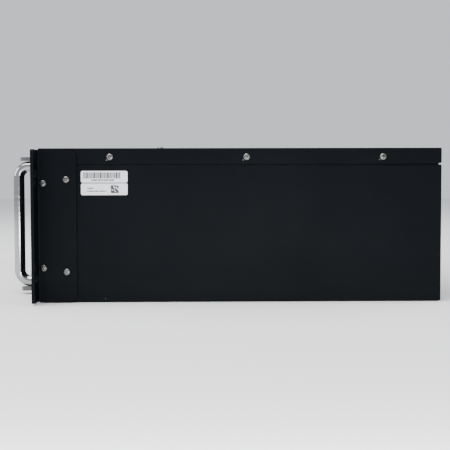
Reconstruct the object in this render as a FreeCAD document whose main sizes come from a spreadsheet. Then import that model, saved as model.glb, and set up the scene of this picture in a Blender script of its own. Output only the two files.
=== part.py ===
import FreeCAD, Part
import os
import re
import Sketcher

# Rack-mounted 16-cell battery module, three rack units high.
# X is the width, Y the depth (the front panel faces -Y), Z is up. Millimetres.

V = FreeCAD.Vector
doc = FreeCAD.newDocument("RackBattery")

SIZES = {
    "case_width": 442, "case_height": 132.5, "front_y": -158.5, "rear_y": 191.5, "sheet": 1.2,
    "wall_top": 118, "skirt_low": 119.4, "panel_thick": 2.5, "panel_back": -156,
    "rack_width": 482.6, "ear_thick": 2.5, "ear_low": 1, "ear_high": 131, "flange_long": 35,
    "slot_x": 232.55, "slot_z": 66, "slot_half_pitch": 44.45, "slot_rad": 3.4, "slot_long": 10,
    "ear_mid": 66,
    "screw_rad": 3, "shank_rad": 1.4, "head_high": 1.8,
    "handle_x": 158, "handle_z": 65, "leg_half": 53.25, "bar_rad": 5, "bend_rad": 10,
    "pivot_out": 13, "reach": 33, "lug_gap": 0.3, "lug_thick": 3.4, "pin_rad": 2, "pin_fit": 0.05,
    "cell_wide": 148, "cell_thick": 27, "cell_high": 98, "cell_pitch": 28, "first_cell_y": -76,
    "row_x": 78, "cell_base": 4.2, "pole_high": 4, "pole_rad": 6,
}

sheet = doc.addObject("Spreadsheet::Sheet", "Params")
for row, (alias, number) in enumerate(SIZES.items(), start=1):
    sheet.set(f"A{row}", alias)
    sheet.set(f"B{row}", str(number))
    sheet.setAlias(f"B{row}", alias)
doc.recompute()


def linked(text):
    """Turn bare size names into references to the sheet."""
    def swap(match):
        word = match.group(0)
        return "Params." + word if word in SIZES else word
    return re.sub(r"[a-z][a-z_]*", swap, str(text))


def drive(item, **values):
    for prop, text in values.items():
        item.setExpression(prop, linked(text))
    return item


def place(item, at, turn=None):
    if turn:
        axis, degrees = turn
        item.Placement.Rotation = FreeCAD.Rotation(V(*axis), degrees)
    for letter, text in zip("xyz", at):
        item.setExpression(f"Placement.Base.{letter}", linked(text))
    return item


counter = {"n": 0}


def add(kind, owner=None):
    counter["n"] += 1
    name = f"f{counter['n']:04d}"
    if owner:
        return owner.newObject(kind, name)
    return doc.addObject(kind, name)


# ---- loose solids -------------------------------------------------------------------------

def block(low, size):
    """Box from its low corner and its three lengths."""
    item = drive(add("Part::Box"), Length=size[0], Width=size[1], Height=size[2])
    return place(item, low)


def centred(middle, size):
    """Box from its middle and its three lengths."""
    low = [f"({m})-({s})/2" for m, s in zip(middle, size)]
    return block(low, size)


TURNS = {
    "z": None,
    "-z": ((1, 0, 0), 180),
    "y": ((1, 0, 0), -90),
    "-y": ((1, 0, 0), 90),
    "x": ((0, 1, 0), 90),
}


def rod(start, radius, length, axis="z"):
    item = drive(add("Part::Cylinder"), Radius=radius, Height=length)
    return place(item, start, TURNS[axis])


def taper(start, wide, narrow, length, axis="z"):
    item = drive(add("Part::Cone"), Radius1=wide, Radius2=narrow, Height=length)
    return place(item, start, TURNS[axis])


def ball(middle, radius):
    return place(drive(add("Part::Sphere"), Radius=radius), middle)


def hexagon(start, radius, length, axis="z"):
    item = drive(add("Part::Prism"), Circumradius=radius, Height=length)
    item.Polygon = 6
    return place(item, start, TURNS[axis])


def join(items):
    if len(items) == 1:
        return items[0]
    item = add("Part::MultiFuse")
    item.Shapes = items
    item.Refine = True
    return item


def cut(base, tools):
    item = add("Part::Cut")
    item.Base = base
    item.Tool = join(tools)
    return item


def rounded(item, radius, test):
    """Fillet the edges of a loose solid that pass the test."""
    doc.recompute()
    chosen = [n for n, edge in enumerate(item.Shape.Edges, start=1) if test(edge)]
    result = add("Part::Fillet")
    result.Base = item
    result.Edges = [(n, radius, radius) for n in chosen]
    return result


def runs_along(axis):
    """Straight edges parallel to an axis."""
    way = {"x": V(1, 0, 0), "y": V(0, 1, 0), "z": V(0, 0, 1)}[axis]

    def test(edge):
        if edge.Curve.TypeId != "Part::GeomLine":
            return False
        return abs(edge.Curve.Direction.dot(way)) > 0.999
    return test


# ---- PartDesign bodies --------------------------------------------------------------------

def new_body(name):
    made = doc.addObject("PartDesign::Body", "body_" + name)
    made.Label = name
    return made


def origin_plane(owner, role):
    return [f for f in owner.Origin.OriginFeatures if f.Role == role][0]


def sketch_on(owner, role, offset="0"):
    made = add("Sketcher::SketchObject", owner)
    made.AttachmentSupport = [(origin_plane(owner, role), "")]
    made.MapMode = "FlatFace"
    made.setExpression("AttachmentOffset.Base.z", linked(offset))
    return made


def rectangle(made, left, low, width, height):
    """Constrained rectangle whose four dimensions follow the sheet."""
    corners = [V(0, 0), V(1, 0), V(1, 1), V(0, 1)]
    sides = []
    for n in range(4):
        line = Part.LineSegment(corners[n], corners[(n + 1) % 4])
        sides.append(made.addGeometry(line, False))
    for n in range(4):
        made.addConstraint(Sketcher.Constraint("Coincident", sides[n], 2, sides[(n + 1) % 4], 1))
        made.addConstraint(Sketcher.Constraint(("Horizontal", "Vertical")[n % 2], sides[n]))
    dimensions = [
        (Sketcher.Constraint("DistanceX", sides[0], 1, sides[0], 2, 1), width),
        (Sketcher.Constraint("DistanceY", sides[1], 1, sides[1], 2, 1), height),
        (Sketcher.Constraint("DistanceX", -1, 1, sides[0], 1, 0.1), left),
        (Sketcher.Constraint("DistanceY", -1, 1, sides[0], 1, 0.1), low),
    ]
    for constraint, text in dimensions:
        index = made.addConstraint(constraint)
        made.renameConstraint(index, f"size_{index}")
        made.setExpression(f"Constraints.size_{index}", linked(text))


def pad(owner, made, length):
    item = add("PartDesign::Pad", owner)
    item.Profile = made
    return drive(item, Length=length)


def body_box(owner, low, size, remove=False):
    kind = "PartDesign::SubtractiveBox" if remove else "PartDesign::AdditiveBox"
    item = drive(add(kind, owner), Length=size[0], Width=size[1], Height=size[2])
    return place(item, low)


def body_hole(owner, start, radius, length, axis):
    item = drive(add("PartDesign::SubtractiveCylinder", owner), Radius=radius, Height=length)
    return place(item, start, TURNS[axis])


def body_fillet(owner, radius, test):
    doc.recompute()
    last = owner.Tip
    names = [f"Edge{n}" for n, edge in enumerate(last.Shape.Edges, start=1) if test(edge)]
    item = add("PartDesign::Fillet", owner)
    item.Base = (last, names)
    item.Radius = radius
    return item


# ---- output list --------------------------------------------------------------------------

parts = {}


def keep(name, item):
    item.Label = name
    parts[name] = item


def keep_group(name, items):
    """Several equal loose solids under one name."""
    if len(items) == 1:
        keep(name, items[0])
        return
    item = add("Part::Compound")
    item.Links = items
    keep(name, item)


# ---- case ---------------------------------------------------------------------------------

SKIRT_SCREW_Y = ("front_y+64", "front_y+181.5", "front_y+299")
TOP_SCREW_Y = ("front_y+106.5",)
SIDES = ((-1, "left"), (1, "right"))
# Flange screws: distance behind the front, height from the ear's middle.
FLANGE_SCREWS = ((6.9, 36.3), (26.8, 39.6))

# Front panel devices: middle of each cut-out as (x, z).
BREAKER = (-92, 66)
POSITIVE = (-38, 66)
NEGATIVE = (6, 66)
PORTS_X = (44, 62, 80)
PORTS_Z = 84
ROCKER = (103, 78)
DIP = (50, 54)
RESET = (74, 54)
LED_X = (38, 48, 58, 68, 78, 88)
LED_Z = 34
GROUND = (-196, 24)
PANEL_SCREWS = ((-214, 5), (214, 5), (-110, 5), (110, 5), (-214, 98), (214, 98))


def chassis_tray():
    tray = new_body("chassis_tray")
    floor = sketch_on(tray, "XY_Plane")
    rectangle(floor, "-case_width/2", "panel_back", "case_width", "rear_y-panel_back")
    pad(tray, floor, "wall_top")
    body_box(tray, ("-case_width/2+sheet", "panel_back-1", "sheet"),
             ("case_width-2*sheet", "rear_y-sheet-panel_back+1", "wall_top"), remove=True)
    rear = SIZES["rear_y"] - 0.1

    def folded(edge):
        box = edge.BoundBox
        if box.ZMax < 0.01:
            return runs_along("y")(edge) or box.YMin > rear
        if box.ZMin > SIZES["wall_top"] - 0.01:
            return (runs_along("y")(edge) and abs(box.Center.x) > 220.9) or box.YMin > rear
        return runs_along("z")(edge) and box.YMin > rear

    body_fillet(tray, 1, folded)
    step_run = "rear_y-panel_back-14.4"
    for side, _ in SIDES:
        inner = f"{side}*(case_width/2-1.5*sheet-0.1)-sheet/2"
        body_box(tray, (inner, "panel_back+12", "wall_top-8"), ("sheet", step_run, "20.6"))
        step = f"{side}*(case_width/2-sheet)-sheet"
        body_box(tray, (step, "panel_back+12", "wall_top-2*sheet"),
                 ("2*sheet", step_run, "sheet"))
        lip = f"{side}*(case_width/2-sheet-5)-5"
        body_box(tray, (lip, "panel_back", "sheet"), ("10", "sheet", "wall_top-12"))
    band_corner = ("-case_width/2+14", "rear_y-2*sheet-0.1", "wall_top-8")
    body_box(tray, band_corner, ("case_width-28", "sheet", "20.6"))
    body_box(tray, band_corner, ("case_width-28", "1.5*sheet", "7"))
    body_box(tray, ("-case_width/2+12", "panel_back", "sheet"), ("case_width-24", "sheet", "5.6"))
    for side, _ in SIDES:
        for y in SKIRT_SCREW_Y:
            body_hole(tray, (f"{side}*case_width/2-10", y, "124.8"), "shank_rad", "20", "x")
        for end in (-1, 1):
            for back_y, rise in FLANGE_SCREWS:
                middle = (f"{side}*case_width/2-10", f"front_y+{back_y}", f"ear_mid+{end}*{rise}")
                body_hole(tray, middle, "shank_rad", "20", "x")
    for x, z in PANEL_SCREWS:
        body_hole(tray, (x, "front_y-1", z), "shank_rad", 10, "y")
    keep("chassis_tray", tray)


def top_cover():
    cover = new_body("top_cover")
    outline = sketch_on(cover, "XY_Plane", "skirt_low")
    rectangle(outline, "-case_width/2", "panel_back", "case_width", "rear_y-panel_back")
    pad(cover, outline, "case_height-skirt_low")
    inside = ("case_width-2*sheet", "rear_y-sheet-panel_back+1", "case_height-skirt_low-sheet+1")
    body_box(cover, ("-case_width/2+sheet", "panel_back-1", "skirt_low-1"), inside, remove=True)
    rear = SIZES["rear_y"] - 0.1

    def folded(edge):
        box = edge.BoundBox
        if box.ZMin > SIZES["case_height"] - 0.01:
            return runs_along("y")(edge) or box.YMin > rear
        return runs_along("z")(edge) and box.YMin > rear

    body_fillet(cover, 1, folded)
    for side, _ in SIDES:
        for y in SKIRT_SCREW_Y:
            body_hole(cover, (f"{side}*case_width/2-10", y, "124.8"), "shank_rad", "20", "x")
        for y in TOP_SCREW_Y:
            body_hole(cover, (f"{side}*(case_width/2-16)", y, "case_height-10"), "shank_rad", "20", "z")
    keep("top_cover", cover)


def front_panel():
    panel = new_body("front_panel")
    plate = sketch_on(panel, "XZ_Plane", "-panel_back")
    rectangle(plate, "-case_width/2+0.2", "ear_low", "case_width-0.4", "ear_high-ear_low")
    pad(panel, plate, "panel_thick")
    openings = [
        (BREAKER, 37, 46), (POSITIVE, 30, 44), (NEGATIVE, 30, 44), (ROCKER, 13.4, 19.4),
        (DIP, 13.6, 10), ((62, PORTS_Z), 55, 15),
    ]
    for (x, z), wide, high in openings:
        body_box(panel, (x - wide / 2, "front_y-1", z - high / 2), (wide, 10, high), remove=True)
    body_hole(panel, (RESET[0], "front_y-1", RESET[1]), 3.6, 10, "y")
    for x in LED_X:
        body_hole(panel, (x, "front_y-1", LED_Z), 2.6, 10, "y")
    body_hole(panel, (GROUND[0], "front_y-1", GROUND[1]), 3, 10, "y")
    for x, z in PANEL_SCREWS:
        body_hole(panel, (x, "front_y-1", z), "shank_rad", 10, "y")
    for side, _ in SIDES:
        for end in (-1, 1):
            body_hole(panel, (f"{side}*handle_x", "front_y-1", f"handle_z+{end}*leg_half"), 2, 10, "y")
    keep("front_panel", panel)


def rack_ear(side, name):
    ear = new_body("rack_ear_" + name)
    low_x = "case_width/2" if side > 0 else "-rack_width/2"
    tab = sketch_on(ear, "XZ_Plane", "-front_y-ear_thick")
    rectangle(tab, low_x, "ear_low", "(rack_width-case_width)/2", "ear_high-ear_low")
    pad(ear, tab, "ear_thick")
    flange_x = "case_width/2" if side > 0 else "-case_width/2-ear_thick"
    body_box(ear, (flange_x, "front_y", "ear_low"), ("ear_thick", "flange_long", "ear_high-ear_low"))
    back = lambda edge: runs_along("x")(edge) and edge.BoundBox.YMin > SIZES["front_y"] + 30
    body_fillet(ear, 6, back)
    tip = lambda edge: runs_along("y")(edge) and abs(edge.BoundBox.Center.x) > 241
    body_fillet(ear, 2, tip)
    bend = lambda edge: (runs_along("z")(edge) and edge.BoundBox.Center.y > SIZES["front_y"] + 2
                         and edge.BoundBox.Center.y < SIZES["front_y"] + 3)
    inner = lambda edge: bend(edge) and abs(abs(edge.BoundBox.Center.x) - 223.5) < 0.1
    body_fillet(ear, 1.5, inner)
    for end in (-1, 1):
        middle = f"slot_z+{end}*slot_half_pitch"
        half = "(slot_long/2-slot_rad)"
        body_box(ear, (f"{side}*slot_x-{half}", "front_y-1", f"{middle}-slot_rad"),
                 (f"2*{half}", 10, "2*slot_rad"), remove=True)
        for way in (-1, 1):
            body_hole(ear, (f"{side}*slot_x+{way}*{half}", "front_y-1", middle), "slot_rad", 10, "y")
        for back_y, rise in FLANGE_SCREWS:
            body_hole(ear, (f"{side}*case_width/2-8", f"front_y+{back_y}", f"ear_mid+{end}*{rise}"),
                      "shank_rad", "20", "x")
    keep("rack_ear_" + name, ear)


def pan_screw(at, axis, shank=6):
    """Cross-recessed pan head; the head grows along the axis from the seat point."""
    x, y, z = at
    grow = {"x": (1, 0, 0), "-x": (-1, 0, 0), "-y": (0, -1, 0), "z": (0, 0, 1)}[axis]
    turn = {"x": ((0, 1, 0), 90), "-x": ((0, 1, 0), -90), "-y": ((1, 0, 0), 90), "z": None}[axis]

    def along(distance):
        return [f"({c})+({g * distance})" for c, g in zip((x, y, z), grow)]

    rim = place(drive(add("Part::Cylinder"), Radius="screw_rad", Height="0.9"), along(0), turn)
    crown = place(drive(add("Part::Cone"), Radius1="screw_rad", Radius2="screw_rad-0.9", Height="0.9"),
                  along(0.9), turn)
    body = place(drive(add("Part::Cylinder"), Radius="shank_rad-0.05", Height=shank), along(-shank), turn)
    head = join([rim, crown, body])
    wide = [3.4 if g == 0 else 2.4 for g in grow]
    recess = []
    for flat in [n for n in range(3) if grow[n] == 0]:
        size = list(wide)
        size[flat] = 0.8
        recess.append(centred(along(1.9), size))
    return cut(head, recess)


def case_screws():
    made = []
    for side, _ in SIDES:
        axis = "x" if side > 0 else "-x"
        for y in SKIRT_SCREW_Y:
            made.append(pan_screw((f"{side}*case_width/2", y, "124.8"), axis))
        for end in (-1, 1):
            for back_y, rise in FLANGE_SCREWS:
                z = f"ear_mid+{end}*{rise}"
                made.append(pan_screw((f"{side}*(case_width/2+ear_thick)", f"front_y+{back_y}", z), axis))
        for y in TOP_SCREW_Y:
            made.append(pan_screw((f"{side}*(case_width/2-16)", y, "case_height"), "z"))
    for x, z in PANEL_SCREWS:
        made.append(pan_screw((x, "front_y", z), "-y"))
    keep_group("case_screws", made)


def side_labels():
    """Two equal stickers, one above the other, on the right side wall."""
    plates = []
    for z in (97.3, 108):
        plate = centred(("case_width/2+0.1", "front_y+59.1", z), ("0.2", "40", "10"))
        plates.append(rounded(plate, 1.4, runs_along("x")))
    keep_group("side_labels", plates)


# ---- handles ------------------------------------------------------------------------------

def quarter_bend(side, end):
    """A quarter of a ring joining a leg to the grip."""
    ring = drive(add("Part::Torus"), Radius1="bend_rad", Radius2="bar_rad")
    ring.Angle3 = 90
    turn = FreeCAD.Rotation(V(0, -1, 0), V(0, 0, end), V(-end, 0, 0), "XYZ")
    ring.Placement.Rotation = turn
    return place(ring, (f"{side}*handle_x", "front_y-reach+bar_rad+bend_rad",
                        f"handle_z+{end}*(leg_half-bend_rad)"))


def handle_bar(side, name):
    x = f"{side}*handle_x"
    grip_y = "front_y-reach+bar_rad"
    pieces = [rod((x, grip_y, "handle_z-leg_half+bend_rad"), "bar_rad", "2*(leg_half-bend_rad)")]
    holes = []
    for end in (-1, 1):
        z = f"handle_z+{end}*leg_half"
        pieces.append(quarter_bend(side, end))
        pieces.append(rod((x, f"{grip_y}+bend_rad", z), "bar_rad", "reach-bar_rad-bend_rad-pivot_out", "y"))
        pieces.append(ball((x, "front_y-pivot_out", z), "bar_rad"))
        holes.append(rod((x, "front_y-pivot_out", f"{z}-10"), "pin_rad+pin_fit", "20"))
    keep("handle_bar_" + name, cut(join(pieces), holes))


def handle_post(side, end):
    """Two lugs either side of the leg, on a block and a foot plate with a stud through the panel."""
    x = f"{side}*handle_x"
    z = f"handle_z+{end}*leg_half"
    high = "2*(bar_rad+lug_gap+lug_thick)"
    foot = rounded(centred((x, "front_y-1", z), ("17", "2", "18.6")), 3, runs_along("y"))
    web = centred((x, "front_y-4.4", z), ("9.6", "4.8", high))
    items = [foot, web, rod((x, "front_y+14", z), "1.95", "15", "-y")]
    for way in (-1, 1):
        lug_z = f"{z}+{way}*(bar_rad+lug_gap+lug_thick/2)-lug_thick/2"
        reach = 8.6 if way == end else 0
        items.append(block((f"{x}-4.8", f"front_y-pivot_out-{reach}", lug_z),
                           ("9.6", f"pivot_out+{reach}-5", "lug_thick")))
        items.append(rod((x, f"front_y-pivot_out-{reach}", lug_z), "4.8", "lug_thick"))
    bore = rod((x, "front_y-pivot_out", f"{z}-12"), "pin_rad", "24")
    return cut(join(items), [bore])


def handle_hardware():
    posts, pins, nuts = [], [], []
    for side, _ in SIDES:
        for end in (-1, 1):
            z = f"handle_z+{end}*leg_half"
            posts.append(handle_post(side, end))
            shank = rod((f"{side}*handle_x", "front_y-pivot_out", f"{z}-9.2"), "pin_rad", "18.4")
            pins.append(shank)
            nut = hexagon((f"{side}*handle_x", "panel_back+3.2", z), "4", "3.2", "-y")
            bore = rod((f"{side}*handle_x", "panel_back+5", z), "1.95", "8", "-y")
            nuts.append(cut(nut, [bore]))
    keep_group("handle_posts", posts)
    keep_group("handle_pins", pins)
    keep_group("handle_nuts", nuts)


# ---- cells --------------------------------------------------------------------------------

CELLS_PER_ROW = 8
CELL_TOP = "cell_base+cell_high"


def cell_y(n):
    return f"first_cell_y+{n}*cell_pitch"


def cell(number):
    row, n = divmod(number, CELLS_PER_ROW)
    x = ("-row_x", "row_x")[row]
    y = cell_y(n)
    can = centred((x, y, "cell_base+cell_high/2"), ("cell_wide", "cell_thick", "cell_high"))
    can = rounded(can, 2.5, runs_along("z"))
    poles = [rod((f"{x}+{way}*52", y, CELL_TOP), "pole_rad", "pole_high") for way in (-1, 1)]
    studs = [rod((f"{x}+{way}*52", y, f"{CELL_TOP}+pole_high"), "2.4", "9") for way in (-1, 1)]
    vent = rod((x, y, f"{CELL_TOP}-0.5"), "5", "1")
    keep(f"cell_{number + 1:02d}", join([can, vent] + poles + studs))


def separators():
    made = []
    for x in ("-row_x", "row_x"):
        for n in range(CELLS_PER_ROW - 1):
            made.append(centred((x, f"{cell_y(n)}+cell_pitch/2", "cell_base+cell_high/2"),
                                ("cell_wide-4", "cell_pitch-cell_thick-0.1", "cell_high-4")))
    keep_group("cell_separators", made)


def end_plate(middle_y):
    plate = centred(("0", middle_y, "cell_base+cell_high/2"), ("2*row_x+cell_wide", "6", "cell_high-2"))
    pockets = []
    for x in (-114, -38, 38, 114):
        pockets.append(centred((x, middle_y, "cell_base+cell_high/2"), ("56", "20", "56")))
    return cut(rounded(plate, 4, runs_along("y")), [rounded(p, 6, runs_along("y")) for p in pockets])


def tie_straps():
    """Two closed bands around the end plates and both cell rows."""
    made = []
    for z in (22, 82):
        outer = centred(("0", f"{cell_y(3)}+cell_pitch/2", z),
                        ("2*row_x+cell_wide+2.4", "7*cell_pitch+cell_thick+14.6", "16"))
        inner = centred(("0", f"{cell_y(3)}+cell_pitch/2", z),
                        ("2*row_x+cell_wide+0.4", "7*cell_pitch+cell_thick+12.6", "20"))
        made.append(cut(rounded(outer, 2, runs_along("z")), [inner]))
    keep_group("tie_straps", made)


def links():
    """Bars that join each cell to the next, the cross link between rows and the two output tabs."""
    bars, nuts = [], []
    low = f"{CELL_TOP}+pole_high"
    for outward, x in enumerate(("-row_x", "row_x")):
        for n in range(CELLS_PER_ROW - 1):
            way = (-1, 1)[(n + outward) % 2]
            mid = (f"{x}+{way}*52", f"{cell_y(n)}+cell_pitch/2", f"{low}+1")
            bar = rounded(centred(mid, ("16", "cell_pitch+14", "2")), 5, runs_along("z"))
            holes = [rod((mid[0], cell_y(k), f"{low}-1"), "2.6", "4") for k in (n, n + 1)]
            bars.append(cut(bar, holes))
    cross = rounded(centred(("0", cell_y(7), f"{low}+1"), ("66", "16", "2")), 5, runs_along("z"))
    bars.append(cut(cross, [rod((x, cell_y(7), f"{low}-1"), "2.6", "4") for x in ("52-row_x", "row_x-52")]))
    for x in ("-row_x", "row_x"):
        for n in range(CELLS_PER_ROW):
            for way in (-1, 1):
                start = (f"{x}+{way}*52", cell_y(n), f"{low}+2")
                nuts.append(cut(hexagon(start, "4.6", "4"), [rod(start, "2.4", "5")]))
    keep_group("busbars", bars)
    keep_group("busbar_nuts", nuts)


def base_board():
    board = centred(("0", f"{cell_y(3)}+cell_pitch/2", "sheet+1.5"), ("330", "250", "3"))
    keep("cell_base_board", rounded(board, 6, runs_along("z")))


# ---- electronics --------------------------------------------------------------------------

def bms():
    board = new_body("bms_board")
    outline = sketch_on(board, "XY_Plane", "20")
    rectangle(outline, 96, -142, 112, 37)
    pad(board, outline, "1.6")
    posts = ((102, -137), (202, -137), (102, -110), (202, -110))
    for x, y in posts:
        body_hole(board, (x, y, 10), 1.6, 20, "z")
    keep("bms_board", board)
    keep_group("bms_standoffs", [join([hexagon((x, y, "sheet"), 3.2, "20-sheet"), rod((x, y, 20), 1.55, 4)])
                                 for x, y in posts])
    fins = [block((110, -140 + 4 * n, 25), (60, 1.6, 26)) for n in range(8)]
    keep("bms_heatsink", join([block((110, -140, 21.6), (60, 29.6, 4))] + fins))
    sockets = []
    for x in (176, 190):
        shell = block((x, -132, 21.6), (9, 22, 9))
        sockets.append(cut(shell, [block((x + 1.2, -130.8, 24), (6.6, 19.6, 10))]))
    keep_group("bms_connectors", sockets)


def polyline_cable(points, radius):
    items = []
    for start, stop in zip(points, points[1:]):
        step = V(*stop) - V(*start)
        run = drive(add("Part::Cylinder"), Radius=radius, Height=step.Length)
        run.Placement = FreeCAD.Placement(V(*start), FreeCAD.Rotation(V(0, 0, 1), step))
        items.append(run)
    items += [ball(point, radius) for point in points[1:-1]]
    return join(items)


def power_cables():
    """Each runs from a cell pole, over the end plate and down to the back of its terminal stud."""
    runs = (("positive_cable", -26, POSITIVE[0]), ("negative_cable", 26, NEGATIVE[0]))
    for name, pole_x, stud_x in runs:
        points = [(pole_x, -83, 115), (pole_x, -98, 115), (stud_x, -122, 104), (stud_x, -122, 75)]
        ring = rod((pole_x, "first_cell_y", 112.3), 8, 1.6)
        pole_ring = cut(ring, [rod((pole_x, "first_cell_y", 112), 2.6, 4)])
        stud_ring = cut(rod((stud_x, -121.2, 66), 9.5, 1.6, "-y"), [rod((stud_x, -120, 66), 4.1, 4, "-y")])
        keep(name, join([polyline_cable(points, 4), pole_ring, stud_ring]))


# ---- front panel devices ------------------------------------------------------------------

def breaker():
    x, z = BREAKER
    case = rounded(centred((x, "front_y+31", z), (36, 56, 84)), 1.5, runs_along("y"))
    nose = rounded(centred((x, "front_y+0.5", z), (36, 11, 45)), 1.2, runs_along("y"))
    slot = centred((x, "front_y-3", z), (24.8, 16, 21))
    barrel = rod((x - 13, "front_y+2", z), 8.3, 26, "x")
    keep("breaker_body", cut(join([case, nose]), [slot, barrel]))
    lever = rounded(centred((x, "front_y-9", f"{z}-5"), (22, 13, 5)), 1.2, runs_along("x"))
    drum = rod((x - 12, "front_y+2", z), 8, 24, "x")
    pivot = rod((x - 12.95, "front_y+2", z), 2, 25.9, "x")
    keep("breaker_toggle", join([drum, lever, pivot]))


def rocker():
    x, z = ROCKER
    case = centred((x, "front_y+9", z), (13, 20, 19))
    bezel = rounded(centred((x, "front_y-1", z), (15, 2, 21)), 1, runs_along("y"))
    well = centred((x, "front_y+2", z), (11, 16, 16))
    keep("power_switch_body", cut(join([case, bezel]), [well]))
    key = rod((x - 5.2, "front_y+2", z), 7.4, 10.4, "x")
    ridge = V(x, SIZES["front_y"] - 4.2, z)
    upper = centred((x, "front_y-9.2", z + 10), (20, 10, 20))
    lower = drive(add("Part::Box"), Length=20, Width=10, Height=20)
    lean = FreeCAD.Placement(ridge, FreeCAD.Rotation(V(1, 0, 0), 20))
    lower.Placement = lean.multiply(FreeCAD.Placement(V(-10, -10, -20), FreeCAD.Rotation()))
    keep("power_rocker", cut(key, [upper, lower]))


def reset():
    x, z = RESET
    ring = rod((x, "front_y+8", z), 3.5, 8, "-y")
    flange = rod((x, "front_y", z), 5, 1.2, "-y")
    bore = rod((x, "front_y+5", z), 2.3, 8, "-y")
    keep("reset_switch_body", cut(join([ring, flange]), [bore]))
    stem = rod((x, "front_y+2.5", z), 2, 4.2, "-y")
    cap = taper((x, "front_y-1.7", z), 2, 1.6, 0.5, "-y")
    keep("reset_button", join([stem, cap]))


DIP_PITCH = 2.9


def dip_switch():
    x, z = DIP
    case = centred((x, "front_y+2.2", z), (13.4, 6, 9.8))
    slots = []
    for n in range(4):
        middle = x + (n - 1.5) * DIP_PITCH
        slots.append(centred((middle, "front_y", z), (1.8, 3, 5)))
        slider = centred((middle, "front_y-0.15", z - 1.2), (1.2, 2.7, 2))
        keep(f"dip_slider_{n + 1}", slider)
    keep("dip_switch_body", cut(case, slots))


def ports():
    shell = centred((62, "front_y+6.8", PORTS_Z), (54.6, 16, 14.6))
    sockets = []
    for x in PORTS_X:
        sockets.append(centred((x, "front_y+2", PORTS_Z), (11.8, 14, 7)))
        sockets.append(centred((x, "front_y+2", PORTS_Z - 5), (4.6, 14, 4)))
    keep("comm_ports", cut(shell, sockets))
    lenses = []
    for x in LED_X:
        stem = rod((x, "front_y+4", LED_Z), 2.5, 4.6, "-y")
        lenses.append(join([stem, ball((x, "front_y-0.6", LED_Z), 2.4)]))
    keep_group("led_lenses", lenses)


def terminals():
    studs, nuts = [], []
    for name, (x, z) in (("positive", POSITIVE), ("negative", NEGATIVE)):
        flange = rounded(centred((x, "front_y-2", z), (36, 4, 50)), 3, runs_along("y"))
        neck = centred((x, "front_y+8", z), (29.6, 20, 43.6))
        hinge = [rod((x + way * 15 - 2.5, "front_y-7", z + 23), 2.6, 5, "x") for way in (-1, 1)]
        feet = [centred((x + way * 15, "front_y-4.5", z + 23), (5, 5, 5.2)) for way in (-1, 1)]
        bore = rod((x, "front_y+30", z), 4.1, 60, "-y")
        pivot = rod((x - 20, "front_y-7", z + 23), 1.05, 40, "x")
        base = cut(join([flange, neck] + hinge + feet), [bore, pivot])
        keep(name + "_terminal_base", base)
        studs.append(join([rod((x, "front_y+40", z), 4, 58, "-y"),
                           hexagon((x, "front_y+22.5", z), 7.5, 4, "-y")]))
        blank = hexagon((x, "front_y-4", z), 7.5, 6.4, "-y")
        nuts.append(cut(blank, [rod((x, "front_y", z), 4, 20, "-y")]))
        shell = rounded(centred((x, "front_y-14.6", z - 2.3), (34, 20.6, 44)), 2, runs_along("y"))
        hollow = centred((x, "front_y-12.3", z - 3.8), (30.4, 22, 43.8))
        relief = centred((x, "front_y-6", z + 21), (40, 9.4, 11))
        arm = centred((x, "front_y-9.4", z + 20.7), (22, 6, 4))
        knuckle = rod((x - 11, "front_y-7", z + 23), 2.4, 22, "x")
        rod_pin = rod((x - 17, "front_y-7", z + 23), 1, 34, "x")
        cover = join([cut(shell, [hollow, relief]), arm, knuckle, rod_pin])
        keep("terminal_cover_" + name, cover)
    keep_group("terminal_studs", studs)
    keep_group("terminal_nuts", nuts)


def ground_point():
    x, z = GROUND
    stud = rod((x, "front_y+8", z), 2.95, 24, "-y")
    nut = hexagon((x, "front_y", z), 6, 5, "-y")
    inner = hexagon((x, "panel_back+4", z), 6, 4, "-y")
    keep("ground_stud", join([stud, nut, inner]))


chassis_tray()
top_cover()
front_panel()
for ear_side, ear_name in SIDES:
    rack_ear(ear_side, ear_name)
    handle_bar(ear_side, ear_name)
case_screws()
side_labels()
handle_hardware()
for index in range(2 * CELLS_PER_ROW):
    cell(index)
separators()
keep_group("end_plates", [end_plate("first_cell_y-cell_thick/2-3.1"),
                          end_plate("first_cell_y+7*cell_pitch+cell_thick/2+3.1")])
tie_straps()
links()
base_board()
bms()
power_cables()
breaker()
rocker()
reset()
dip_switch()
ports()
terminals()
ground_point()

doc.recompute()
for item in doc.Objects:
    for state in item.State:
        if "Invalid" in state or "Error" in state:
            raise RuntimeError(f"{item.Label} is {state}")
os.makedirs("parts", exist_ok=True)
for label, item in parts.items():
    shape = item.Shape
    if shape.isNull() or not shape.isValid():
        raise RuntimeError(f"{label} has a bad shape")
    shape.exportStep(f"parts/{label}.step")
    print(label, len(shape.Solids), round(shape.Volume), [round(v, 1) for v in (
        shape.BoundBox.XMin, shape.BoundBox.XMax, shape.BoundBox.YMin, shape.BoundBox.YMax,
        shape.BoundBox.ZMin, shape.BoundBox.ZMax)])
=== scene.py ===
import math
import bmesh
import bpy
from mathutils import Matrix, Vector


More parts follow.
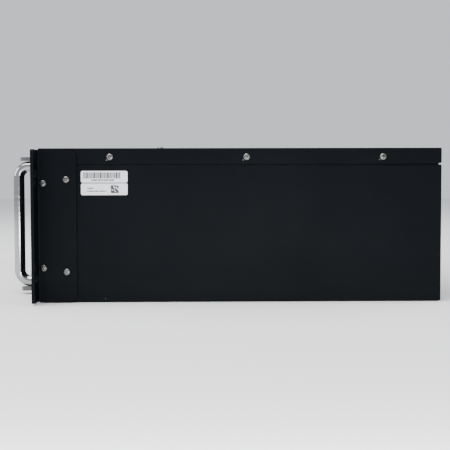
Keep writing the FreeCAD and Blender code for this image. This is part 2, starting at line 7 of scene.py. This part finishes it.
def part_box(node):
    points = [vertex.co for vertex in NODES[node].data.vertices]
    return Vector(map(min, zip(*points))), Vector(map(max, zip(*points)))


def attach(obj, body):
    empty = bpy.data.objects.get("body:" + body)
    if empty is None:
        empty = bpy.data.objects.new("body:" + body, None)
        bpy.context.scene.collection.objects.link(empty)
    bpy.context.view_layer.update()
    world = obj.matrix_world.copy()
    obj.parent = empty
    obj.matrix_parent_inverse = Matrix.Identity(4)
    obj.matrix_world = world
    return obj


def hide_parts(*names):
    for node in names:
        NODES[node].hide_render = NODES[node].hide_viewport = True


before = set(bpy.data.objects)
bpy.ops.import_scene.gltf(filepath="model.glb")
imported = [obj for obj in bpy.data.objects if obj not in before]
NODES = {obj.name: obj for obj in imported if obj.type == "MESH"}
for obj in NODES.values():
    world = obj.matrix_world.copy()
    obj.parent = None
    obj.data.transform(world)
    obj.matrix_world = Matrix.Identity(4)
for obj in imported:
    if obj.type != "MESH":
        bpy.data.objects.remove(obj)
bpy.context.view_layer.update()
MM = 0.001
FINE_GRAIN = 0.1 * MM


# ---- shader helpers -----------------------------------------------------------------------

class Mat:
    """A material with a Principled shader and short calls for its nodes."""

    def __init__(self, name, colour, rough, metal=0.0):
        self.material = bpy.data.materials.new(name)
        self.material.use_nodes = True
        self.material.diffuse_color = (*colour, 1)
        self.tree = self.material.node_tree
        self.shader = self.tree.nodes["Principled BSDF"]
        self.set(Base_Color=(*colour, 1), Roughness=rough, Metallic=metal)
        self.where = None

    def set(self, **values):
        for name, value in values.items():
            self.shader.inputs[name.replace("_", " ")].default_value = value

    def node(self, kind, **settings):
        made = self.tree.nodes.new("ShaderNode" + kind)
        for name, value in settings.items():
            setattr(made, name, value)
        return made

    def wire(self, start, stop):
        self.tree.links.new(start, stop)

    def place(self):
        if self.where is None:
            self.where = self.node("TexCoord").outputs["Object"]
        return self.where

    def noise(self, scale, detail=3.0):
        made = self.node("TexNoise")
        made.inputs["Scale"].default_value = scale
        made.inputs["Detail"].default_value = detail
        made.inputs["Roughness"].default_value = 0.55
        self.wire(self.place(), made.inputs["Vector"])
        return made.outputs["Fac"]

    def stretched_noise(self, scale, stretch, detail):
        mapping = self.node("Mapping")
        mapping.inputs["Scale"].default_value = stretch
        self.wire(self.place(), mapping.inputs["Vector"])
        made = self.node("TexNoise")
        made.inputs["Scale"].default_value = scale
        made.inputs["Detail"].default_value = detail
        self.wire(mapping.outputs["Vector"], made.inputs["Vector"])
        return made.outputs["Fac"]

    def cells(self, scale, feature="F1"):
        made = self.node("TexVoronoi", feature=feature)
        made.inputs["Scale"].default_value = scale
        self.wire(self.place(), made.inputs["Vector"])
        return made.outputs["Distance"]

    def ramp(self, value, low, high, start=0.0, stop=1.0):
        made = self.node("MapRange")
        made.inputs["From Min"].default_value = low
        made.inputs["From Max"].default_value = high
        made.inputs["To Min"].default_value = start
        made.inputs["To Max"].default_value = stop
        self.wire(value, made.inputs["Value"])
        return made.outputs["Result"]

    def maths(self, operation, first, second):
        made = self.node("Math", operation=operation)
        for socket, value in zip(made.inputs, (first, second)):
            if isinstance(value, (int, float)):
                socket.default_value = value
            else:
                self.wire(value, socket)
        return made.outputs["Value"]

    def mix(self, factor, first, second):
        made = self.node("Mix", data_type="RGBA")
        self.wire(factor, made.inputs["Factor"])
        for socket, value in zip((made.inputs[6], made.inputs[7]), (first, second)):
            if isinstance(value, tuple):
                socket.default_value = (*value, 1)
            else:
                self.wire(value, socket)
        return made.outputs[2]

    def into(self, value, socket):
        self.wire(value, self.shader.inputs[socket])

    def bump(self, height, strength, distance):
        made = self.node("Bump")
        made.inputs["Strength"].default_value = strength
        made.inputs["Distance"].default_value = distance
        self.wire(height, made.inputs["Height"])
        self.wire(made.outputs["Normal"], self.shader.inputs["Normal"])

    def edge_highlight_mask(self, radius):
        """Mask for the painted edge highlight, near 1 along sharp edges: the rounded normal turns away
        from the flat one there.
        """
        soft = self.node("Bevel", samples=4)
        soft.inputs["Radius"].default_value = radius
        flat = self.node("NewGeometry").outputs["Normal"]
        dot = self.node("VectorMath", operation="DOT_PRODUCT")
        self.wire(soft.outputs["Normal"], dot.inputs[0])
        self.wire(flat, dot.inputs[1])
        return self.ramp(dot.outputs["Value"], 0.985, 0.86)

# ---- materials ----------------------------------------------------------------------------

def powder_coat():
    mat = Mat("powder_coat", (0.0022, 0.0032, 0.0046), 0.46)
    mottled = mat.ramp(mat.noise(9.0, 5.0), 0.35, 0.7)
    base = mat.mix(mottled, (0.0018, 0.0028, 0.0042), (0.0028, 0.0039, 0.0054))
    specks = mat.ramp(mat.cells(95.0), 0.045, 0.02)
    rare = mat.ramp(mat.noise(38.0, 2.0), 0.66, 0.7)
    dusty = mat.mix(mat.maths("MULTIPLY", specks, rare), base, (0.16, 0.16, 0.155))
    haze = mat.ramp(mat.stretched_noise(7.0, (1.0, 0.8, 3.0), 6.0), 0.58, 0.82, 0.0, 0.18)
    hazed = mat.mix(haze, dusty, (0.008, 0.009, 0.0105))
    # Painted highlight: sharp edges are lightened toward a paler blue-grey, as if they caught the light.
    painted_edge_highlight = mat.maths("MULTIPLY", mat.edge_highlight_mask(0.6 * MM), 0.55)
    mat.into(mat.mix(painted_edge_highlight, hazed, (0.022, 0.024, 0.027)), "Base Color")
    mat.into(mat.ramp(mat.noise(26.0, 5.0), 0.3, 0.75, 0.43, 0.48), "Roughness")
    mat.bump(mat.noise(1500.0, 2.0), 0.28, 0.25 * MM)
    mat.set(Specular_IOR_Level=0.06)
    return mat.material


def bright_zinc():
    mat = Mat("bright_zinc", (0.2, 0.204, 0.196), 0.36, 1.0)
    dulled = mat.ramp(mat.noise(420.0, 3.0), 0.35, 0.7)
    mat.into(mat.mix(dulled, (0.23, 0.234, 0.226), (0.12, 0.122, 0.117)), "Base Color")
    mat.into(mat.ramp(mat.noise(900.0), 0.3, 0.7, 0.26, 0.44), "Roughness")
    mat.bump(mat.noise(2500.0), 0.12, FINE_GRAIN)
    return mat.material


def chrome():
    mat = Mat("chrome", (0.36, 0.366, 0.376), 0.12, 1.0)
    wiped = mat.stretched_noise(60.0, (1.0, 1.0, 8.0), 4.0)
    mat.into(mat.ramp(wiped, 0.35, 0.75, 0.08, 0.18), "Roughness")
    mat.bump(mat.noise(700.0), 0.03, FINE_GRAIN)
    return mat.material


def satin_steel():
    mat = Mat("satin_steel", (0.15, 0.155, 0.147), 0.38, 1.0)
    brushed = mat.stretched_noise(300.0, (1.0, 1.0, 0.05), 4.0)
    mat.into(mat.mix(mat.ramp(brushed, 0.3, 0.7), (0.18, 0.183, 0.172), (0.1, 0.1, 0.094)), "Base Color")
    mat.into(mat.ramp(brushed, 0.3, 0.7, 0.3, 0.46), "Roughness")
    mat.bump(brushed, 0.12, FINE_GRAIN)
    return mat.material


def brushed(name, colour, rough, stretch):
    """Bare metal with fine lines along the axis whose stretch is least."""
    mat = Mat(name, colour, rough, 1.0)
    lines = mat.stretched_noise(260.0, stretch, 4.0)
    darker = tuple(c * 0.78 for c in colour)
    mat.into(mat.mix(mat.ramp(lines, 0.3, 0.7), colour, darker), "Base Color")
    mat.into(mat.ramp(lines, 0.3, 0.7, rough - 0.07, rough + 0.08), "Roughness")
    mat.bump(lines, 0.15, FINE_GRAIN)
    return mat.material


def moulded(name, colour, rough):
    """Injection-moulded plastic: a fine spark texture and faint flow marks."""
    mat = Mat(name, colour, rough)
    light = tuple(min(1.0, c * 1.18 + 0.004) for c in colour)
    mat.into(mat.mix(mat.ramp(mat.noise(34.0, 4.0), 0.35, 0.7), colour, light), "Base Color")
    mat.into(mat.ramp(mat.noise(150.0), 0.3, 0.7, rough - 0.05, rough + 0.07), "Roughness")
    mat.bump(mat.noise(2200.0, 2.0), 0.18, FINE_GRAIN)
    return mat.material


def cable_sheath(name, colour):
    mat = Mat(name, colour, 0.5)
    mat.into(mat.ramp(mat.noise(90.0, 4.0), 0.3, 0.7, 0.42, 0.6), "Roughness")
    mat.bump(mat.noise(600.0), 0.15, 0.2 * MM)
    return mat.material


def sticker_paper():
    mat = Mat("sticker_paper", (0.84, 0.85, 0.87), 0.42)
    clouded = mat.ramp(mat.noise(60.0, 4.0), 0.4, 0.75)
    mat.into(mat.mix(clouded, (0.85, 0.86, 0.88), (0.79, 0.8, 0.82)), "Base Color")
    mat.bump(mat.noise(1800.0, 2.0), 0.06, FINE_GRAIN)
    mat.set(Coat_Weight=0.25, Coat_Roughness=0.3)
    return mat.material


def printed_ink():
    mat = Mat("printed_ink", (0.045, 0.045, 0.05), 0.5)
    mat.bump(mat.noise(1800.0, 2.0), 0.05, FINE_GRAIN)
    return mat.material


def circuit_mask():
    mat = Mat("circuit_mask", (0.012, 0.13, 0.05), 0.32)
    copper = mat.ramp(mat.cells(180.0, "DISTANCE_TO_EDGE"), 0.05, 0.08, 1.0, 0.0)
    mat.into(mat.mix(copper, (0.012, 0.12, 0.045), (0.03, 0.22, 0.09)), "Base Color")
    mat.bump(copper, 0.1, FINE_GRAIN)
    return mat.material


def cell_film():
    mat = Mat("cell_film", (0.03, 0.1, 0.3), 0.36)
    clouded = mat.ramp(mat.noise(20.0, 4.0), 0.35, 0.7)
    mat.into(mat.mix(clouded, (0.026, 0.09, 0.28), (0.04, 0.13, 0.34)), "Base Color")
    mat.bump(mat.noise(120.0, 4.0), 0.08, 0.4 * MM)
    return mat.material


def glow_lens():
    mat = Mat("glow_lens", (0.3, 0.42, 0.3), 0.16)
    mat.set(Transmission_Weight=0.35, Coat_Weight=0.4, Coat_Roughness=0.08)
    mat.into(mat.ramp(mat.noise(700.0), 0.3, 0.7, 0.12, 0.24), "Roughness")
    return mat.material


def paint_all():
    coat = powder_coat()
    zinc = bright_zinc()
    shiny = chrome()
    satin = satin_steel()
    black = moulded("black_plastic", (0.018, 0.018, 0.02), 0.42)
    red = moulded("red_plastic", (0.3, 0.012, 0.01), 0.42)
    white = moulded("white_plastic", (0.78, 0.78, 0.75), 0.4)
    film = cell_film()
    looks = {
        "chassis_tray": coat, "top_cover": coat, "front_panel": coat, "rack_ear_left": coat,
        "rack_ear_right": coat, "case_screws": zinc, "handle_nuts": zinc, "busbar_nuts": zinc,
        "terminal_nuts": zinc, "ground_stud": zinc, "handle_bar_left": shiny, "handle_bar_right": shiny,
        "handle_posts": satin, "handle_pins": satin, "side_labels": sticker_paper(),
        "cell_separators": white,
        "end_plates": brushed("plate_alloy", (0.6, 0.61, 0.62), 0.36, (0.05, 1, 1)),
        "tie_straps": brushed("strap_steel", (0.5, 0.51, 0.52), 0.33, (0.05, 0.05, 1)),
        "busbars": brushed("bar_alloy", (0.72, 0.72, 0.7), 0.3, (1, 0.05, 1)),
        "cell_base_board": moulded("fibre_sheet", (0.6, 0.52, 0.24), 0.5),
        "bms_board": circuit_mask(),
        "bms_standoffs": brushed("post_brass", (0.72, 0.52, 0.22), 0.3, (1, 1, 0.1)),
        "bms_heatsink": brushed("anodised_alloy", (0.4, 0.41, 0.43), 0.42, (1, 0.1, 1)),
        "bms_connectors": white,
        "positive_cable": cable_sheath("red_sheath", (0.4, 0.014, 0.01)),
        "negative_cable": cable_sheath("black_sheath", (0.014, 0.014, 0.015)),
        "breaker_body": moulded("grey_plastic", (0.5, 0.51, 0.51), 0.4), "breaker_toggle": black,
        "power_switch_body": black, "reset_switch_body": black,
        "power_rocker": moulded("rocker_plastic", (0.024, 0.024, 0.026), 0.25),
        "reset_button": moulded("reset_plastic", (0.5, 0.02, 0.015), 0.28),
        "comm_ports": black, "negative_terminal_base": black, "terminal_cover_negative": black,
        "positive_terminal_base": red, "terminal_cover_positive": red, "led_lenses": glow_lens(),
        "dip_switch_body": moulded("dip_plastic", (0.02, 0.08, 0.36), 0.36),
        "terminal_studs": brushed("stud_brass", (0.74, 0.6, 0.34), 0.26, (1, 0.1, 1)),
    }
    for name, node in NODES.items():
        if name.startswith("cell_") and name[5:].isdigit():
            look = film
        elif name.startswith("dip_slider"):
            look = white
        else:
            look = looks[name]
        for place in node.material_slots:
            place.material = look


# ---- added pieces -------------------------------------------------------------------------

def mesh_piece(name, bm, look, body):
    mesh = bpy.data.meshes.new(name)
    bm.to_mesh(mesh)
    bm.free()
    mesh.materials.append(look)
    made = bpy.data.objects.new(name, mesh)
    bpy.context.scene.collection.objects.link(made)
    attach(made, body)
    return made


def add_box(bm, low, high):
    made = bmesh.ops.create_cube(bm, size=1)["verts"]
    middle = (Vector(low) + Vector(high)) / 2
    size = Vector(high) - Vector(low)
    bmesh.ops.scale(bm, vec=size, verts=made)
    bmesh.ops.translate(bm, vec=middle, verts=made)


INK_HIGH = 0.04 * MM
BAR_WIDTHS = (2, 1, 3, 1, 2, 1, 1, 3, 2, 1, 2, 3, 1, 1, 2, 1, 3, 1, 2, 1, 1, 2, 3, 1, 2)
PRINT_UNIT = 0.47 * MM
DASH_PITCH = 1.2 * MM
CODE_UNIT = 0.75 * MM
CODE_SIDE = 9
BARS_IN = 2.3 * MM
UPPER_LINE_IN = 8.5 * MM
LOWER_LINES_IN = 5.2 * MM
CODE_IN = 25.6 * MM
CODE_UP = 1.7 * MM


def ruled_line(bm, face, start, low, high, count):
    """A row of dashes in place of a line of text."""
    for n in range(count):
        reach = (0.9 if n % 4 else 0.55) * DASH_PITCH
        y = start + n * DASH_PITCH
        add_box(bm, (face, y, low), (face + INK_HIGH, y + reach, high))


def code_cell_inked(row, column):
    """Three solid corners and an even scatter between them, which encodes nothing."""
    low_row, high_row = row < 3, row > 5
    low_column, high_column = column < 3, column > 5
    in_corner = (low_row or high_row) and (low_column or high_column)
    scatter = row * row * 7 + column * column * 3 + row * column * 5 + row * 2 + column
    return (in_corner and not (high_row and high_column)) or scatter % 13 < 7


def label_print(ink):
    """Plain bars, ruled lines and a checkered square: no lettering."""
    low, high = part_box("side_labels")
    face, front, bottom, top = high[0], low[1], low[2], high[2]
    bm = bmesh.new()
    y = front + BARS_IN
    for width in BAR_WIDTHS:
        add_box(bm, (face, y, top - 6.4 * MM), (face + INK_HIGH, y + width * PRINT_UNIT, top - 1.3 * MM))
        y += (width + 1) * PRINT_UNIT
    ruled_line(bm, face, front + UPPER_LINE_IN, top - 8.4 * MM, top - 7.3 * MM, 17)
    ruled_line(bm, face, front + LOWER_LINES_IN, bottom + 5.4 * MM, bottom + 6.3 * MM, 5)
    ruled_line(bm, face, front + LOWER_LINES_IN, bottom + 2.9 * MM, bottom + 3.8 * MM, 14)
    for row in range(CODE_SIDE):
        for column in range(CODE_SIDE):
            if code_cell_inked(row, column):
                y = front + CODE_IN + column * CODE_UNIT
                z = bottom + CODE_UP + row * CODE_UNIT
                add_box(bm, (face, y, z), (face + INK_HIGH, y + CODE_UNIT, z + CODE_UNIT))
    mesh_piece("label_print", bm, ink, "case")


def smooth(obj):
    for face in obj.data.polygons:
        face.use_smooth = True


def ring_points(middle, along, across, radius, count):
    """A circle of points round middle, square to the direction along."""
    third = along.cross(across)
    points = []
    for n in range(count):
        angle = math.tau * n / count
        points.append(middle + radius * (math.cos(angle) * across + math.sin(angle) * third))
    return points


def skin(bm, rings):
    """Faces between rings of equal count, closed with a fan at each end."""
    loops = [[bm.verts.new(point) for point in ring] for ring in rings]
    count = len(loops[0])
    for first, second in zip(loops, loops[1:]):
        for n in range(count):
            m = (n + 1) % count
            bm.faces.new((first[n], first[m], second[m], second[n]))
    bm.faces.new(list(reversed(loops[0])))
    bm.faces.new(loops[-1])


HANDLE_BEND = 10 * MM
HANDLE_HALF = 53.25 * MM
BEND_STEPS = 14
END_STEPS = 8
BAR_SIDES = 32
POINT_SIZE = 0.02


def eased(steps):
    """Equal angles from 0 to a quarter turn."""
    return [math.pi / 2 * n / steps for n in range(steps + 1)]


def handle_bar(side, look):
    """A round bar bent twice, with rounded ends that turn on the pins."""
    low, high = (Vector(corner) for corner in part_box("handle_bar_" + side))
    radius = (high.x - low.x) / 2
    x = (high.x + low.x) / 2
    grip_y = low.y + radius
    pivot_y = high.y - radius
    top = (high.z + low.z) / 2 + HANDLE_HALF
    bottom = (high.z + low.z) / 2 - HANDLE_HALF
    across = Vector((1, 0, 0))
    rings = []

    def add(y, z, ahead_y, ahead_z, size=1.0):
        ahead = Vector((0, ahead_y, ahead_z))
        rings.append(ring_points(Vector((x, y, z)), ahead, across, radius * size, BAR_SIDES))

    for angle in eased(END_STEPS)[1:]:
        add(pivot_y + radius * math.cos(angle), top, -1, 0, max(math.sin(angle), POINT_SIZE))
    for angle in eased(BEND_STEPS):
        near, far = 1 - math.sin(angle), 1 - math.cos(angle)
        add(grip_y + HANDLE_BEND * near, top - HANDLE_BEND * far, -math.cos(angle), -math.sin(angle))
    for angle in eased(BEND_STEPS):
        near, far = 1 - math.sin(angle), 1 - math.cos(angle)
        add(grip_y + HANDLE_BEND * far, bottom + HANDLE_BEND * near, math.sin(angle), -math.cos(angle))
    for angle in reversed(eased(END_STEPS)[1:]):
        add(pivot_y + radius * math.cos(angle), bottom, 1, 0, max(math.sin(angle), POINT_SIZE))
    bm = bmesh.new()
    skin(bm, rings)
    bmesh.ops.recalc_face_normals(bm, faces=bm.faces)
    made = mesh_piece("grip_" + side, bm, look, "handle_" + side)
    smooth(made)
    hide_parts("handle_bar_" + side)


HEAD_RADIUS = 3 * MM
HEAD_HIGH = 1.8 * MM
HEAD_PROFILE = (
    (0.0, 1.0), (0.3, 0.995), (0.55, 0.95), (0.76, 0.83),
    (0.9, 0.64), (0.97, 0.42), (1.0, 0.2), (1.0, 0.0),
)
SHANK_RADIUS = 1.35 * MM
SHANK_LONG = 6 * MM
SCREW_SIDES = 28
SPIN_STEP = 37
SHARP_ANGLE = 38
CROSS_LONG = 1.75 * MM
CROSS_WIDE = 0.5 * MM
CROSS_TAPER = 0.45
CROSS_TOP = 2.1 * MM
CROSS_FLOOR = 0.55 * MM


def temporary(name, bm):
    mesh = bpy.data.meshes.new(name)
    bmesh.ops.recalc_face_normals(bm, faces=bm.faces)
    bm.to_mesh(mesh)
    bm.free()
    made = bpy.data.objects.new(name, mesh)
    bpy.context.scene.collection.objects.link(made)
    return made


def screw_ring(height, radius):
    return ring_points(Vector((0, 0, height)), Vector((0, 0, 1)), Vector((1, 0, 0)), radius, SCREW_SIDES)


def cross_cutter():
    """Two crossed bars that narrow toward the bottom of the recess."""
    bm = bmesh.new()
    for long_x, long_y in ((CROSS_LONG, CROSS_WIDE), (CROSS_WIDE, CROSS_LONG)):
        for vert in bmesh.ops.create_cube(bm, size=2)["verts"]:
            upper = vert.co.z > 0
            taper = 1.0 if upper else CROSS_TAPER
            vert.co.x *= long_x * taper
            vert.co.y *= long_y * taper
            vert.co.z = CROSS_TOP if upper else CROSS_FLOOR
    return temporary("screw_cross", bm)


def screw_master():
    """Pan head with a cross recess and a plain shank, pointing up +Z from its seat."""
    bm = bmesh.new()
    rings = [screw_ring(-SHANK_LONG, SHANK_RADIUS), screw_ring(0, SHANK_RADIUS)]
    for out, up in reversed(HEAD_PROFILE):
        rings.append(screw_ring(up * HEAD_HIGH, max(out, 0.01) * HEAD_RADIUS))
    skin(bm, rings)
    head = temporary("screw_blank", bm)
    cross = cross_cutter()
    change = head.modifiers.new("recess", "BOOLEAN")
    change.object = cross
    change.solver = "EXACT"
    change.use_self = True
    solid = bpy.data.meshes.new_from_object(head.evaluated_get(bpy.context.evaluated_depsgraph_get()))
    bpy.data.objects.remove(head)
    bpy.data.objects.remove(cross)
    return solid


def loose_boxes(node):
    """Low and high corners of each separate solid in a CAD node."""
    bm = bmesh.new()
    bm.from_mesh(NODES[node].data)
    bmesh.ops.remove_doubles(bm, verts=bm.verts, dist=1e-6)
    waiting = set(bm.verts)
    found = []
    while waiting:
        stack = [waiting.pop()]
        group = []
        while stack:
            vert = stack.pop()
            group.append(vert.co.copy())
            for edge in vert.link_edges:
                other = edge.other_vert(vert)
                if other in waiting:
                    waiting.remove(other)
                    stack.append(other)
        low = Vector([min(co[k] for co in group) for k in range(3)])
        high = Vector([max(co[k] for co in group) for k in range(3)])
        found.append((low, high))
    bm.free()
    return sorted(found, key=lambda pair: tuple(round(v, 4) for v in pair[0]))


def screw_seats():
    """Seat point and outward direction of each case screw."""
    seats = []
    for low, high in loose_boxes("case_screws"):
        size = high - low
        middle = (low + high) / 2
        along = max(range(3), key=lambda k: size[k])
        out = Vector((0, 0, 0))
        out[along] = (math.copysign(1, middle.x), -1, 1)[along]
        end = middle + out * size[along] / 2
        seats.append((end - out * HEAD_HIGH, out))
    return seats


def screws(look):
    master = screw_master()
    bm = bmesh.new()
    for n, (seat, out) in enumerate(screw_seats()):
        spin = Matrix.Rotation(math.radians(SPIN_STEP * n), 3, "Z")
        turn = out.to_track_quat("Z", "Y").to_matrix() @ spin
        copy = master.copy()
        copy.transform(Matrix.Translation(seat) @ turn.to_4x4())
        bm.from_mesh(copy)
        bpy.data.meshes.remove(copy)
    made = mesh_piece("pan_screws", bm, look, "case")
    smooth(made)
    made.data.set_sharp_from_angle(angle=math.radians(SHARP_ANGLE))
    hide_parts("case_screws")


PATCH_CORNERS = 9
PATCH_HIGH = 0.03 * MM
CASE_HALF = 221.5 * MM


def screw_reflection_patches(look):
    """Painted reflection: small patches of bare metal beside the lid screws, standing in for the shine
    of each screw head in the paint.
    """
    bm = bmesh.new()
    for n, (seat, out) in enumerate(screw_seats()):
        on_lid = abs(out.x) > 0.5 and abs(seat.x) < CASE_HALF
        if not on_lid:
            continue
        # Painted reflection: the same offset below and toward the front of every lid screw.
        spot = seat + Vector((0, -2.9 * MM, -2.5 * MM))
        corners = []
        for k in range(PATCH_CORNERS):
            angle = math.tau * k / PATCH_CORNERS
            reach = (0.75 + 0.35 * math.sin(3.1 * k + n)) * MM
            corners.append(spot + Vector((0, reach * math.cos(angle), 0.8 * reach * math.sin(angle))))
        front = [bm.verts.new(corner + out * PATCH_HIGH) for corner in corners]
        back = [bm.verts.new(corner) for corner in corners]
        bm.faces.new(front)
        bm.faces.new(list(reversed(back)))
        for k in range(PATCH_CORNERS):
            m = (k + 1) % PATCH_CORNERS
            bm.faces.new((front[k], back[k], back[m], front[m]))
    bmesh.ops.recalc_face_normals(bm, faces=bm.faces)
    mesh_piece("screw_reflection_patches", bm, look, "case")


MARK_HALF = 5 * MM
MARK_STROKE = 0.8 * MM
MARK_UP = 21 * MM


def polarity_marks(look):
    """A plain plus and minus on the faces of the two terminal covers."""
    for name in ("positive", "negative"):
        low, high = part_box("terminal_cover_" + name)
        x = (low[0] + high[0]) / 2
        z = low[2] + MARK_UP
        face = low[1]
        bm = bmesh.new()
        strokes = [(MARK_HALF, MARK_STROKE)]
        if name == "positive":
            strokes.append((MARK_STROKE, MARK_HALF))
        for wide, tall in strokes:
            add_box(bm, (x - wide, face - INK_HIGH, z - tall), (x + wide, face, z + tall))
        mesh_piece("mark_" + name, bm, look, "cover_" + name)


# ---- stage --------------------------------------------------------------------------------

def floor():
    bpy.ops.mesh.primitive_plane_add(size=12, location=(0, 0, -0.5 * MM))
    made = bpy.context.object
    made.name = "floor"
    made.data.materials.append(Mat("floor_paint", (0.86, 0.86, 0.865), 0.75).material)


def area_light(name, place, target, size, power):
    data = bpy.data.lights.new(name, "AREA")
    data.shape = "RECTANGLE"
    data.size, data.size_y = size
    data.energy = power
    made = bpy.data.objects.new(name, data)
    bpy.context.scene.collection.objects.link(made)
    made.location = place
    made.rotation_euler = (Vector(target) - Vector(place)).to_track_quat("-Z", "Y").to_euler()


def lights():
    world = bpy.data.worlds.new("studio")
    bpy.context.scene.world = world
    world.use_nodes = True
    background = world.node_tree.nodes["Background"]
    background.inputs["Color"].default_value = (0.93, 0.95, 1.0, 1)
    background.inputs["Strength"].default_value = 0.85
    middle = (0, 0, 0.07)
    area_light("key", (0.5, -0.4, 1.7), middle, (1.4, 1.4), 48)
    area_light("front_fill", (0.2, -2.0, 0.8), middle, (1.6, 1.0), 20)
    area_light("back_rim", (-0.6, 1.9, 1.3), middle, (1.4, 1.0), 16)
    area_light("low_wash", (0.7, 0.05, 0.03), (0.22, 0.05, 0.02), (0.5, 0.04), 1.0)


CAMERA_PLACE = (0.9531, -0.0064, 0.0995)
CAMERA_TURNS = (0.83, 2.6, -0.13)
LENS = 68.0
SENSOR = 36.0


def camera():
    """Nearly level side view from the right, near enough for the front end to look taller."""
    data = bpy.data.cameras.new("camera")
    data.lens = LENS
    data.sensor_width = SENSOR
    made = bpy.data.objects.new("camera", data)
    bpy.context.scene.collection.objects.link(made)
    made.location = CAMERA_PLACE
    yaw, pitch, roll = (math.radians(angle) for angle in CAMERA_TURNS)
    level = math.cos(pitch)
    ahead = Vector((-math.cos(yaw) * level, math.sin(yaw) * level, -math.sin(pitch)))
    turn = ahead.to_track_quat("-Z", "Y").to_matrix() @ Matrix.Rotation(roll, 3, "Z")
    made.rotation_euler = turn.to_euler()
    bpy.context.scene.camera = made


paint_all()
label_print(printed_ink())
for side_name in ("left", "right"):
    handle_bar(side_name, NODES["handle_bar_" + side_name].material_slots[0].material)
screws(NODES["case_screws"].material_slots[0].material)
screw_reflection_patches(satin_steel())
polarity_marks(NODES["bms_connectors"].material_slots[0].material)
floor()
lights()
camera()
